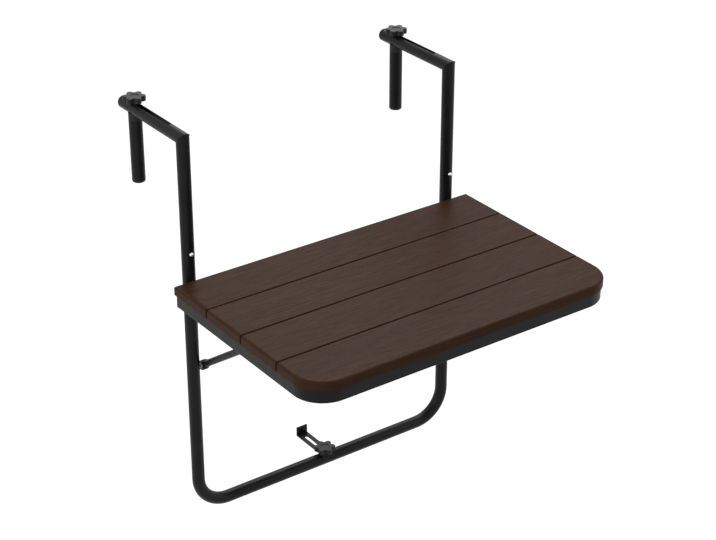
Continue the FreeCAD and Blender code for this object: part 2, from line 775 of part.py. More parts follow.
def make_hinge(name, side):
    """Ear welded under the rear rail, and the screw on which it turns."""
    body = new_body(f"ear_{name}")
    inner_face = "post_x - tube_radius - side_clearance - ear_thickness"
    offset = inner_face if side > 0 else "0 - post_x + tube_radius + side_clearance"
    plate = new_sketch(body, "YZ_Plane", offset)
    polygon(plate, [("rail_back_y - rail_width", "rail_z"), ("rail_back_y", "rail_z"),
                    ("post_y", "hinge_z + ear_radius"), ("post_y", "hinge_z - ear_radius")])
    pad(body, plate, "ear_thickness")
    eye = new_sketch(body, "YZ_Plane", offset)
    circle(eye, "post_y", "hinge_z", "ear_radius")
    pad(body, eye, "ear_thickness")
    bore = new_sketch(body, "YZ_Plane", f"{offset} - ear_thickness")
    circle(bore, "post_y", "hinge_z", "turn_radius")
    pocket(body, bore, "3 * ear_thickness", towards_normal=True)
    keep(body, f"hinge_ear_{name}")

    keep(make_side_screw(f"hinge_screw_{name}", side, "hinge_z", f"{inner_face} - side_clearance"),
         f"hinge_screw_{name}")


def make_side_screw(name, side, height, head_face):
    """Screw along X from inside the frame into the post: button head, shank."""
    head, deep = "hex_height - 1", "post_x - tube_radius + insert_length - side_clearance"
    return turned_body(name, [
        ("0", "0"), ("hex_width / 2 + 1", "0"), ("hex_width / 2 + 1", head), ("screw_radius", head),
        ("screw_radius", f"{deep} - ({head_face}) + {head}"), ("0", f"{deep} - ({head_face}) + {head}")],
        f"{side} * ({head_face} - ({head}))", "post_y", height, turned(Y_AXIS, 90 * side))


# the support bail


def bail_turn():
    """Turn of the bail about X that lifts its run to the saddles."""
    return turned(X_AXIS, -value("asin(bail_rise / bail_length)"))


def make_bail():
    """Bent tube with flattened eyes at both ends, leaning forward from the posts up to the table."""
    body = new_body("bail")
    taper_end = "0 - bail_eye_length - bail_taper"
    spine = new_sketch(body, "XY_Plane")
    u_spine(spine, "bail_x", taper_end, "0 - bail_length", "bail_bend")
    ring = new_sketch(body, "XZ_Plane", f"0 - ({taper_end})")
    circle(ring, "0 - bail_x", "0", "bail_radius")
    circle(ring, "0 - bail_x", "0", "bail_radius - bail_wall")
    pipe(body, spine, ring)
    for side in SIDES.values():
        x = f"{side} * bail_x"
        round_end = new_sketch(body, "XZ_Plane", f"0 - ({taper_end})")
        circle(round_end, x, "0", "bail_radius")
        flat_end = new_sketch(body, "XZ_Plane", "bail_eye_length")
        half, wide = "bail_eye_thickness / 2", "bail_eye_width / 2"
        rectangle(flat_end, (f"{x} - {half}", f"{x} + {half}"), (f"0 - {wide}", wide))
        loft(body, round_end, flat_end)
        plate = new_sketch(body, "YZ_Plane", f"{x} - {half}")
        rectangle(plate, ("0 - bail_eye_length", "0"), (f"0 - {wide}", wide))
        pad(body, plate, "bail_eye_thickness")
        eye = new_sketch(body, "YZ_Plane", f"{x} - {half}")
        circle(eye, "0", "0", wide)
        pad(body, eye, "bail_eye_thickness")
        bore = new_sketch(body, "YZ_Plane", f"{x} - bail_eye_thickness")
        circle(bore, "0", "0", "turn_radius")
        pocket(body, bore, "2 * bail_eye_thickness", towards_normal=True)
    drain = new_sketch(body, "XY_Plane", "0 - bail_radius")
    for side in SIDES.values():
        circle(drain, f"{side} * (bail_x - 2 * bail_bend)", "0 - bail_length", "bail_drain / 2")
    pocket(body, drain, "bail_radius", towards_normal=True)
    place(body, "0", "post_y", "pivot_z", bail_turn())
    keep(body, "support_bail")

    for name, side in SIDES.items():
        eye_in = "bail_x - bail_eye_thickness / 2"
        keep(make_side_screw(f"pivot_screw_{name}", side, "pivot_z", f"{eye_in} - side_clearance"),
             f"bail_screw_{name}")
        start = "bail_x + bail_eye_thickness / 2 + side_clearance"
        keep(turned_body(f"spacer_{name}", [
            ("turn_radius", "0"), ("spacer_diameter / 2", "0"), ("spacer_diameter / 2", "spacer_length"),
            ("turn_radius", "spacer_length")], f"{side} * ({start})", "post_y", "pivot_z",
            turned(Y_AXIS, 90 * side)), f"bail_spacer_{name}")
        make_bail_saddle(name, side)


def make_bail_saddle(name, side):
    """Bent plate under a cross bar: a deep lip behind the bail's run and a low one before it."""
    body = new_body(f"bail_saddle_{name}")
    y = "post_y - sqrt(bail_length ^ 2 - bail_rise ^ 2)"
    reach = "bail_radius + seat_clearance"
    profile = new_sketch(body, "YZ_Plane")
    bind(profile, "AttachmentOffset.Base.z", f"{side} * saddle_x")
    polygon(profile, [
        (f"{y} - {reach} - saddle_plate", "cross_z"),
        (f"{y} - {reach} - saddle_plate", "seat_z - saddle_front_lip"),
        (f"{y} - {reach}", "seat_z - saddle_front_lip"), (f"{y} - {reach}", "seat_z"),
        (f"{y} + {reach}", "seat_z"), (f"{y} + {reach}", "seat_z - saddle_back_lip"),
        (f"{y} + {reach} + saddle_plate", "seat_z - saddle_back_lip"),
        (f"{y} + {reach} + saddle_plate", "cross_z")])
    pad(body, profile, "saddle_width", both_ways=True)
    keep(body, f"bail_saddle_{name}")


def make_post_inserts():
    """Threaded inserts in the posts' inner walls for the hinge and pivot screws, as one group."""
    inserts = []
    for name, side in SIDES.items():
        for kind, height in (("hinge", "hinge_z"), ("pivot", "pivot_z")):
            inward = turned(Y_AXIS, 90 * side)
            start = f"{side} * (post_x - tube_radius)"
            outer = cylinder(f"{kind}_insert_outer_{name}", "insert_diameter / 2", "insert_length", start,
                             "post_y", height, inward)
            bore = cylinder(f"{kind}_insert_bore_{name}", "turn_radius", "insert_length", start,
                            "post_y", height, inward)
            inserts.append(cut(f"{kind}_insert_{name}", outer, [bore]))
    group = doc.addObject("Part::Compound", "post_insert_group")
    group.Links = inserts
    keep(group, "post_inserts")


# the stop bracket on the bottom run


def make_stop_bracket():
    """Slotted strip with an upturned lip, clamped on the bottom run by a clinched stud and knob."""
    body = new_body("stop_strip")
    side = new_sketch(body, "YZ_Plane")
    back, front = "post_y + strip_reach", "post_y - strip_front"
    polygon(side, [
        (front, "strip_z"), (back, "strip_z"), (back, "strip_z + lip_height"),
        (f"{back} - strip_thickness", "strip_z + lip_height"), (f"{back} - strip_thickness", "strip_top_z"),
        (front, "strip_top_z")])
    pad(body, side, "strip_width", both_ways=True)
    far = "post_y + strip_slot_end - strip_slot_width / 2"
    near = "post_y - (strip_slot_width / 2 - screw_radius)"
    slot = box("strip_slot", ("0 - strip_slot_width / 2", "strip_slot_width / 2"), (near, far),
               ("strip_z - strip_thickness", "strip_top_z + strip_thickness"))
    ends = [cylinder(f"strip_slot_{name}", "strip_slot_width / 2", "3 * strip_thickness", "0", y,
                     "strip_z - strip_thickness") for name, y in (("near", near), ("far", far))]
    keep(cut("stop_bracket", body, [slot] + ends), "stop_bracket")

    knob_z = "stop_washer_z + washer_height + turn_clearance"
    tip = f"{knob_z} + knob_collar_height + knob_height - knob_cover - turn_clearance"
    low = "run_z + tube_radius - insert_length"
    high = f"{tip} - ({low})"
    keep(turned_body("stop_stud", [
        ("0", "0"), ("insert_diameter / 2", "0"), ("insert_diameter / 2", "insert_length"),
        ("screw_radius", "insert_length"), ("screw_radius", high), ("0", high)],
        "0", "post_y", low), "stop_screw")
    keep(make_washer("stop_flat_washer", "0", "post_y", "stop_washer_z"), "stop_washer")
    keep(make_knob("stop_star_knob", "0", "post_y", knob_z), "stop_knob")


def write_parts():
    """Check every object, then write one file for each piece."""
    doc.recompute()
    broken = [item.Name for item in doc.Objects if "Invalid" in item.State or "Error" in item.State]
    if broken:
        raise ValueError(f"failed objects: {broken}")
    for item in nodes:
        shape = item.Shape
        if shape.isNull() or not shape.isValid() or not shape.Solids:
            raise ValueError(f"{item.Label} has no valid solid")
    os.makedirs("parts", exist_ok=True)
    for item in nodes:
        item.Shape.exportStep(f"parts/{item.Label}.step")
        print(f"{item.Label}: {len(item.Shape.Solids)} solid, {item.Shape.Volume:.1f} mm3")


fill_sheet()
make_lower_frame()
for hook_name, hook_side in SIDES.items():
    make_hook(hook_name, hook_side)
    make_peg(hook_name, hook_side)
    make_snap_button(hook_name, hook_side)
    make_hinge(hook_name, hook_side)
make_slats()
make_top_frame()
make_slat_screws()
make_bail()
make_post_inserts()
make_stop_bracket()
write_parts()
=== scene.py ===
"""Studio scene of a table that hangs from a balcony's railing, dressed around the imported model.

Everything is in metres: X along the railing, Y from the seat to the railing, Z up, with the origin where
the hooks sit on the rail.
"""
from __future__ import annotations

import json
import logging
import math
from dataclasses import dataclass
from enum import Enum
from typing import Callable, Iterable, Sequence

import bmesh
import bpy
from mathutils import Matrix, Vector, noise

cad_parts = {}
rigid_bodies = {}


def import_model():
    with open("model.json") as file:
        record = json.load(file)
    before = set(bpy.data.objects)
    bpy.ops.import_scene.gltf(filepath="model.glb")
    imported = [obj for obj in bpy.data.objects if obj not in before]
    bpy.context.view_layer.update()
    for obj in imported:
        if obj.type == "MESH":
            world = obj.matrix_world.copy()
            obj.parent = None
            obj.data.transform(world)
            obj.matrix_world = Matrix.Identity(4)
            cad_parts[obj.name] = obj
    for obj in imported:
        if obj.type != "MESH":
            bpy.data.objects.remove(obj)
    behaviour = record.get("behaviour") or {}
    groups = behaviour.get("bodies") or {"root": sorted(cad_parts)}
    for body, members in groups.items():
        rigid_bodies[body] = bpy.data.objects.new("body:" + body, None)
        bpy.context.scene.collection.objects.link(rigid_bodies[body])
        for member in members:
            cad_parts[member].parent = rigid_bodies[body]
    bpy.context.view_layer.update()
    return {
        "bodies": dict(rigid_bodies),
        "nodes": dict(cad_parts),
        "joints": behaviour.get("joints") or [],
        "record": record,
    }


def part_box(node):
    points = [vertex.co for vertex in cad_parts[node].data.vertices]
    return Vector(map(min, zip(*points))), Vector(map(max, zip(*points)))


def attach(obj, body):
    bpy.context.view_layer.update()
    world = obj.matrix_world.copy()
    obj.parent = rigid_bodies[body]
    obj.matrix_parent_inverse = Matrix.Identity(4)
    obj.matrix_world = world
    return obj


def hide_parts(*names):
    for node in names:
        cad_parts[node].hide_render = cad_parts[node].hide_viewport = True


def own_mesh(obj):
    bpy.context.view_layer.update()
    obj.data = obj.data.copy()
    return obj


LOG = logging.getLogger("railing_table")
MM = 0.001

Colour = tuple[float, float, float]
Point = tuple[float, float, float]
RELIEF = "pressed_grain"
TINY = 1e-6
QUARTER = math.pi / 2


class Side(Enum):
    """The two ends of the table, as someone seated at it sees them."""

    LEFT = -1
    RIGHT = 1

    @property
    def word(self) -> str:
        """Name that the nodes of this side end in."""
        return self.name.lower()


class Graph:
    """Node tree of a material or a world, with short calls for the nodes that are used here."""

    def __init__(self, name: str, world: bool = False) -> None:
        """Start an empty tree.

        Args:
            name: Name of the new material or world.
            world: Whether it is a world.
        """
        self.owner = (bpy.data.worlds if world else bpy.data.materials).new(name)
        self.owner.use_nodes = True
        self.tree = self.owner.node_tree
        self.tree.nodes.clear()
        self.output = self.node("OutputWorld" if world else "OutputMaterial")

    @property
    def place(self) -> bpy.types.NodeSocket:
        """Object coordinates."""
        return self.node("TexCoord").outputs["Object"]

    def node(self, kind: str, settings: dict | None = None, **sockets: object) -> bpy.types.Node:
        """Add a node.

        Args:
            kind: Blender's name of the node, without the word that all shader nodes share.
            settings: Properties of the node.
            sockets: Input values or the outputs to link to them, by name with underscores for spaces.

        Returns:
            The new node.
        """
        node = self.tree.nodes.new(f"ShaderNode{kind}")
        for key, setting in (settings or {}).items():
            setattr(node, key, setting)
        for key, given in sockets.items():
            self.feed(node.inputs[key.replace("_", " ")], given)
        return node

    def feed(self, socket: bpy.types.NodeSocket, given: object) -> None:
        """Link an output to a socket, or set the socket's own value.

        Args:
            socket: Input that is fed.
            given: Output socket, number or colour.
        """
        if isinstance(given, bpy.types.NodeSocket):
            self.tree.links.new(given, socket)
        else:
            socket.default_value = given

    def stretched(self, scale: Point, shift: Point = (0.0, 0.0, 0.0)) -> bpy.types.NodeSocket:
        """Object coordinates, moved and scaled.

        Args:
            scale: Scale along each axis.
            shift: Offset of the pattern.

        Returns:
            The mapped vector.
        """
        return self.node("Mapping", Vector=self.place, Scale=scale, Location=shift).outputs["Vector"]

    def noise(self, vector: bpy.types.NodeSocket, scale: float, detail: float = 2.0, rough: float = 0.5,
              distortion: float = 0.0) -> bpy.types.NodeSocket:
        """Grey noise around a half.

        Args:
            vector: Coordinates.
            scale: Features in a metre of them.
            detail: Octaves.
            rough: Weight of the finer octaves.
            distortion: Warp of the pattern.

        Returns:
            The noise's value.
        """
        made = self.node("TexNoise", Vector=vector, Scale=scale, Detail=detail, Roughness=rough,
                         Distortion=distortion)
        return made.outputs["Fac"]

    def spread(self, value: bpy.types.NodeSocket, low: float, high: float, to_low: float = 0.0,
               to_high: float = 1.0) -> bpy.types.NodeSocket:
        """Map one range of a value to another, clamped.

        Args:
            value: What is mapped.
            low: Lower end of the input.
            high: Upper end of the input.
            to_low: What the lower end becomes.
            to_high: What the upper end becomes.

        Returns:
            The mapped value.
        """
        made = self.node("MapRange", Value=value, From_Min=low, From_Max=high, To_Min=to_low, To_Max=to_high)
        return made.outputs["Result"]

    def math(self, operation: str, first: object, second: object = 0.0) -> bpy.types.NodeSocket:
        """Work out one number from two.

        Args:
            operation: Blender's name of the operation.
            first: First number or socket.
            second: Second number or socket.

        Returns:
            The result.
        """
        node = self.node("Math", {"operation": operation})
        self.feed(node.inputs[0], first)
        self.feed(node.inputs[1], second)
        return node.outputs["Value"]

    def blend(self, factor: object, first: object, second: object) -> bpy.types.NodeSocket:
        """Mix two colours.

        Args:
            factor: Share of the second colour.
            first: First colour or socket.
            second: Second colour or socket.

        Returns:
            The mixed colour.
        """
        node = self.node("Mix", {"data_type": "RGBA"})
        self.feed(node.inputs[0], factor)
        for index, given in ((6, first), (7, second)):
            if not isinstance(given, bpy.types.NodeSocket):
                given = (*given, 1.0)
            self.feed(node.inputs[index], given)
        return node.outputs[2]

    def worn(self, radius: float, low: float, high: float) -> bpy.types.NodeSocket:
        """Mask that is white along outer edges.

        Args:
            radius: Width of the edge's neighbourhood in metres.
            low: Turn of the normal at which the mask starts.
            high: Turn of the normal at which it is full.

        Returns:
            The mask.
        """
        bevel = self.node("Bevel", {"samples": 4}, Radius=radius)
        plain = self.node("NewGeometry")
        dot = self.node("VectorMath", {"operation": "DOT_PRODUCT"})
        self.feed(dot.inputs[0], bevel.outputs["Normal"])
        self.feed(dot.inputs[1], plain.outputs["Normal"])
        return self.spread(dot.outputs["Value"], 1.0 - low, 1.0 - high)

    def bump(self, height: bpy.types.NodeSocket, depth: float, strength: float = 1.0,
             under: bpy.types.NodeSocket | None = None) -> bpy.types.NodeSocket:
        """Normal of an embossed surface.

        Args:
            height: Height from 0 to 1.
            depth: Metres from 0 to 1 of it.
            strength: Share of the effect.
            under: Normal of a coarser relief below it.

        Returns:
            The normal.
        """
        node = self.node("Bump", Height=height, Distance=depth, Strength=strength)
        if under is not None:
            self.feed(node.inputs["Normal"], under)
        return node.outputs["Normal"]

    def finish(self, **sockets: object) -> bpy.types.Material:
        """Close the material with its principled shader.

        Args:
            sockets: Values or outputs for the shader's inputs.

        Returns:
            The material.
        """
        shader = self.node("BsdfPrincipled", None, **sockets)
        self.feed(self.output.inputs["Surface"], shader.outputs["BSDF"])
        return self.owner


@dataclass(frozen=True)
class PowderCoat:
    """Black powder coat: satin, slightly pebbled, thin on the edges."""

    name: str = "black_powder_coat"
    colour: Colour = (0.0058, 0.0059, 0.0064)
    pale: Colour = (0.0095, 0.0096, 0.0104)
    rubbed: Colour = (0.030, 0.031, 0.032)
    specular: float = 0.14
    pebble: float = 1150.0
    pebble_depth: float = 0.00004
    cloud: float = 16.0
    rub_width: float = 0.0012
    rub_patches: float = 130.0
    gloss_patches: float = 70.0
    roughness: tuple[float, float] = (0.34, 0.44)

    def make(self) -> bpy.types.Material:
        """Build the material.

        Returns:
            The material.
        """
        graph = Graph(self.name)
        cloud = graph.noise(graph.place, self.cloud, 3.0)
        body = graph.blend(graph.spread(cloud, 0.35, 0.68), self.colour, self.pale)
        patches = graph.noise(graph.place, self.rub_patches, 3.0)
        rub = graph.math("MULTIPLY", graph.worn(self.rub_width, 0.03, 0.22),
                         graph.spread(patches, 0.42, 0.62, 0.1, 0.6))
        grit = graph.noise(graph.place, self.pebble, 2.0, 0.6)
        rough = graph.spread(graph.noise(graph.place, self.gloss_patches, 2.0), 0.3, 0.7, *self.roughness)
        return graph.finish(
            Base_Color=graph.blend(rub, body, self.rubbed),
            Roughness=rough, Specular_IOR_Level=self.specular,
            Normal=graph.bump(grit, self.pebble_depth))


@dataclass(frozen=True)
class SlatGrain:
    """Dark brown slat with grain lines pressed into it along its length."""

    name: str = "dark_slat"
    index: int = 0
    dark: Colour = (0.0240, 0.0095, 0.0048)
    middle: Colour = (0.0460, 0.0207, 0.0103)
    light: Colour = (0.0550, 0.0266, 0.0145)
    specular: float = 0.034
    roughness: tuple[float, float] = (0.46, 0.34)
    figure_scale: Point = (2.2, 26.0, 26.0)
    line_scale: Point = (24.0, 520.0, 520.0)
    pore_scale: Point = (75.0, 1500.0, 1500.0)
    shift_by_slat: Point = (0.71, 1.37, 0.53)
    line_range: tuple[float, float] = (0.34, 0.60)
    pore_range: tuple[float, float] = (0.28, 0.42)
    line_share: float = 0.42
    pore_share: float = 0.30
    pressed_share: float = 0.45
    share_on_ends: float = 0.35
    line_depth: float = 0.00006
    pore_depth: float = 0.00004

    def make(self) -> bpy.types.Material:
        """Build the material.

        Returns:
            The material.
        """
        graph = Graph(f"{self.name}_{self.index}")
        shift = tuple(step * self.index for step in self.shift_by_slat)
        figure = graph.noise(graph.stretched(self.figure_scale, shift), 1.0, 4.0, 0.55, 0.7)
        lines = graph.noise(graph.stretched(self.line_scale, shift), 1.0, 3.0, 0.62, 0.25)
        pores = graph.noise(graph.stretched(self.pore_scale, shift), 1.0, 2.0, 0.5)
        side_on = graph.node("SeparateXYZ", Vector=graph.node("NewGeometry").outputs["Normal"]).outputs["X"]
        across = graph.spread(graph.math("ABSOLUTE", side_on), 0.5, 0.9, 1.0, self.share_on_ends)
        body = graph.blend(graph.spread(figure, 0.3, 0.7), self.middle, self.light)
        streak = graph.spread(lines, *self.line_range, self.line_share, 0.0)
        body = graph.blend(graph.math("MULTIPLY", streak, across), body, self.dark)
        pits = graph.spread(pores, *self.pore_range, self.pore_share, 0.0)
        body = graph.blend(graph.math("MULTIPLY", pits, across), body, self.dark)
        pressed = graph.node("Attribute", {"attribute_name": RELIEF}).outputs["Fac"]
        body = graph.blend(graph.math("MULTIPLY", pressed, self.pressed_share), body, self.dark)
        relief = graph.bump(graph.spread(lines, *self.line_range), self.line_depth)
        relief = graph.bump(graph.spread(pores, *self.pore_range), self.pore_depth, 1.0, relief)
        return graph.finish(
            Base_Color=body, Roughness=graph.spread(lines, 0.3, 0.7, *self.roughness),
            Specular_IOR_Level=self.specular, Normal=relief)


@dataclass(frozen=True)
class MouldedPlastic:
    """Plastic with the fine spark texture of its mould."""

    name: str = "black_plastic_moulding"
    colour: Colour = (0.0105, 0.0105, 0.0110)
    pale: Colour = (0.0170, 0.0170, 0.0178)
    rubbed: Colour = (0.034, 0.034, 0.036)
    roughness: float = 0.48
    roughness_spread: float = 0.06
    specular: float = 0.22
    cloud: float = 55.0
    spark: float = 2600.0
    spark_depth: float = 0.00003
    rub_width: float = 0.0008
    rub_share: float = 0.4

    def make(self) -> bpy.types.Material:
        """Build the material.

        Returns:
            The material.
        """
        graph = Graph(self.name)
        cloud = graph.spread(graph.noise(graph.place, self.cloud, 3.0), 0.35, 0.65)
        spark = graph.noise(graph.place, self.spark, 2.0, 0.7)
        rub = graph.math("MULTIPLY", graph.worn(self.rub_width, 0.02, 0.25), self.rub_share)
        body = graph.blend(rub, graph.blend(cloud, self.colour, self.pale), self.rubbed)
        rough = graph.spread(spark, 0.3, 0.7, self.roughness - self.roughness_spread,
                             self.roughness + self.roughness_spread)
        return graph.finish(Base_Color=body, Roughness=rough, Specular_IOR_Level=self.specular,
                            Normal=graph.bump(spark, self.spark_depth))


@dataclass(frozen=True)
class PlatedSteel:
    """Bare or plated steel with a brushed, clouded shine."""

    name: str
    colour: Colour
    dull: Colour
    roughness: float
    clouding: float = 0.12
    cloud: float = 190.0
    brush_scale: Point = (900.0, 900.0, 5200.0)
    brush_depth: float = 0.00001

    def make(self) -> bpy.types.Material:
        """Build the material.

        Returns:
            The material.
        """
        graph = Graph(self.name)
        cloud = graph.spread(graph.noise(graph.place, self.cloud, 4.0, 0.6), 0.33, 0.67)
        brush = graph.noise(graph.stretched(self.brush_scale), 1.0, 2.0)
        rough = graph.spread(graph.math("ADD", cloud, brush), 0.4, 1.6, self.roughness,
                             self.roughness + self.clouding)
        return graph.finish(Base_Color=graph.blend(cloud, self.colour, self.dull), Metallic=1.0,
                            Roughness=rough, Normal=graph.bump(brush, self.brush_depth))


class Finishes:
    """Every finish of the table, made once."""

    def __init__(self) -> None:
        """Make the materials."""
        self.coat = PowderCoat().make()
        self.slats = [SlatGrain(index=k).make() for k in range(1, 5)]
        self.plastic = MouldedPlastic().make()
        self.nylon = MouldedPlastic("pale_nylon", (0.50, 0.50, 0.49), (0.62, 0.62, 0.60),
                                    (0.7, 0.7, 0.7), 0.42).make()
        self.zinc = PlatedSteel("zinc_plate", (0.56, 0.57, 0.60), (0.40, 0.41, 0.43), 0.30).make()
        self.bright = PlatedSteel("bright_plate", (0.86, 0.86, 0.87), (0.72, 0.72, 0.74), 0.12,
                                  0.08).make()
        self.spring = PlatedSteel("spring_steel", (0.24, 0.25, 0.30), (0.15, 0.15, 0.18), 0.30).make()
        self.by_slot = {
            "powder_coat": self.coat, "black_plastic": self.plastic, "pale_spacer": self.nylon,
            "zinc_steel": self.zinc, "bright_steel": self.bright, "spring_steel": self.spring,
        }


def dress(shown: bpy.types.Object, material: bpy.types.Material) -> None:
    """Give an object one material.

    Args:
        shown: Mesh object.
        material: Its new and only material.
    """
    shown.data.materials.clear()
    shown.data.materials.append(material)


def node_box(node: str) -> tuple[Vector, Vector]:
    """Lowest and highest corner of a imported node."""
    low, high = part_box(node)
    return Vector(low), Vector(high)


class Shape:
    """Mesh of one new piece while its operators run."""

    def __init__(self) -> None:
        """Start empty."""
        self.mesh = bmesh.new()

    @staticmethod
    def outline(verts: Iterable[bmesh.types.BMVert], reach: Callable[[float], float], height: float,
                centre: Vector) -> None:
        """Move vertices onto an outline round an upright axis.

        Args:
            verts: Vertices that are moved, each in its own direction from the axis.
            reach: Distance of the outline from the axis, by its angle.
            height: Height of the outline.
            centre: Point of the axis.
        """
        for vertex in verts:
            away = vertex.co - centre
            angle = math.atan2(away.y, away.x)
            far = reach(angle)
            vertex.co = (centre.x + far * math.cos(angle), centre.y + far * math.sin(angle), height)

    def ring(self, face: bmesh.types.BMFace, reach: Callable[[float], float], height: float,
             centre: Vector) -> None:
        """Add a ring of faces inside a level face and move its inner outline.

        Args:
            face: Face that looks up or down.
            reach: Distance of the new outline from the axis, by its angle.
            height: Height of the new outline.
            centre: Point of the axis.
        """
        bmesh.ops.inset_region(self.mesh, faces=[face], thickness=TINY, depth=0.0, use_even_offset=False)
        self.outline(face.verts, reach, height, centre)

    def raise_face(self, face: bmesh.types.BMFace) -> bmesh.types.BMFace:
        """Copy a face with walls between the two.

        Args:
            face: Face that stays.

        Returns:
            The new face, still in the same place.
        """
        grown = bmesh.ops.extrude_face_region(self.mesh, geom=[face], use_keep_orig=True)["geom"]
        return next(item for item in grown if isinstance(item, bmesh.types.BMFace))

    def extend(self, edges: list[bmesh.types.BMEdge], along: Vector) -> list[bmesh.types.BMEdge]:
        """Pull edges out in a straight line.

        Args:
            edges: Edges that are pulled.
            along: How far and where.

        Returns:
            The new far edges.
        """
        grown = bmesh.ops.extrude_edge_only(self.mesh, edges=edges)["geom"]
        verts = {item for item in grown if isinstance(item, bmesh.types.BMVert)}
        bmesh.ops.translate(self.mesh, verts=list(verts), vec=along)
        return [item for item in grown
                if isinstance(item, bmesh.types.BMEdge) and verts.issuperset(item.verts)]

    def bend(self, edges: list[bmesh.types.BMEdge], centre: Vector, axis: Vector, angle: float,
             steps: int = 16) -> list[bmesh.types.BMEdge]:
        """Pull edges round an axis.

        Args:
            edges: Edges that are pulled.
            centre: Point of the axis.
            axis: Its direction.
            angle: Turn in radians.
            steps: Faces along the bend.

        Returns:
            The new far edges.
        """
        verts = {vertex for edge in edges for vertex in edge.verts}
        turned = bmesh.ops.spin(self.mesh, geom=[*edges, *verts], cent=centre, axis=axis, angle=angle,
                                steps=steps, use_duplicate=False)
        return [item for item in turned["geom_last"] if isinstance(item, bmesh.types.BMEdge)]

    def round_off(self, edges: Iterable[bmesh.types.BMEdge], radius: float, segments: int) -> None:
        """Round edges off.

        Args:
            edges: Edges that are rounded.
            radius: Radius of the rounding.
            segments: Faces across it.
        """
        bmesh.ops.bevel(self.mesh, geom=list(edges), offset=radius, offset_type="OFFSET", segments=segments,
                        profile=0.5, affect="EDGES", material=-1, clamp_overlap=True)

    def sweep(self, path: Sequence[Matrix], radius: float, segments: int, closed: bool = False) -> None:
        """Extrude a circle along a path of frames.

        Args:
            path: Place, turn and scale of the circle at each step.
            radius: Radius of the circle at a scale of one.
            segments: Sides of the circle.
            closed: Whether the path ends where it starts.
        """
        start = bmesh.ops.create_circle(self.mesh, segments=segments, radius=radius, cap_ends=not closed,
                                        matrix=path[0])
        edges = list({edge for vertex in start["verts"] for edge in vertex.link_edges})
        for before, after in zip(path, path[1:]):
            grown = bmesh.ops.extrude_edge_only(self.mesh, edges=edges)["geom"]
            verts = [item for item in grown if isinstance(item, bmesh.types.BMVert)]
            edges = [item for item in grown if isinstance(item, bmesh.types.BMEdge)
                     and all(end in verts for end in item.verts)]
            bmesh.ops.transform(self.mesh, matrix=after @ before.inverted(), verts=verts)
        if closed:
            bmesh.ops.remove_doubles(self.mesh, verts=self.mesh.verts, dist=TINY)
        else:
            bmesh.ops.contextual_create(self.mesh, geom=edges)

    def close(self, name: str, crease: float = 0.6) -> bpy.types.Object:
        """Turn the faces outward, shade them and make the object.

        Args:
            name: Name of the piece.
            crease: Angle in radians past which an edge stays sharp.

        Returns:
            The object, in the scene.
        """
        bmesh.ops.recalc_face_normals(self.mesh, faces=self.mesh.faces)
        for face in self.mesh.faces:
            face.smooth = True
        for edge in self.mesh.edges:
            if edge.is_manifold and edge.calc_face_angle(0.0) > crease:
                edge.smooth = False
        data = bpy.data.meshes.new(name)
        self.mesh.to_mesh(data)
        self.mesh.free()
        piece = bpy.data.objects.new(name, data)
        bpy.context.scene.collection.objects.link(piece)
        flat_first = piece.modifiers.new("flat_first_normals", "WEIGHTED_NORMAL")
        flat_first.keep_sharp = True
        return piece


def place_piece(piece: bpy.types.Object, body: str, slot: str, material: bpy.types.Material,
                *nodes: str) -> None:
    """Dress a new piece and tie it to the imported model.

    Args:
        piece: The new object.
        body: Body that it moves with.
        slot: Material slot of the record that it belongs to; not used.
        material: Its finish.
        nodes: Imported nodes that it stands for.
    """
    dress(piece, material)
    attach(piece, body)
    if nodes:
        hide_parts(*nodes)
    LOG.info("%s on %s, %d faces", piece.name, body, len(piece.data.polygons))


@dataclass(frozen=True)
class SubAssembly:
    """Pieces of the table that are modelled anew and dressed in its finishes."""

    finishes: Finishes


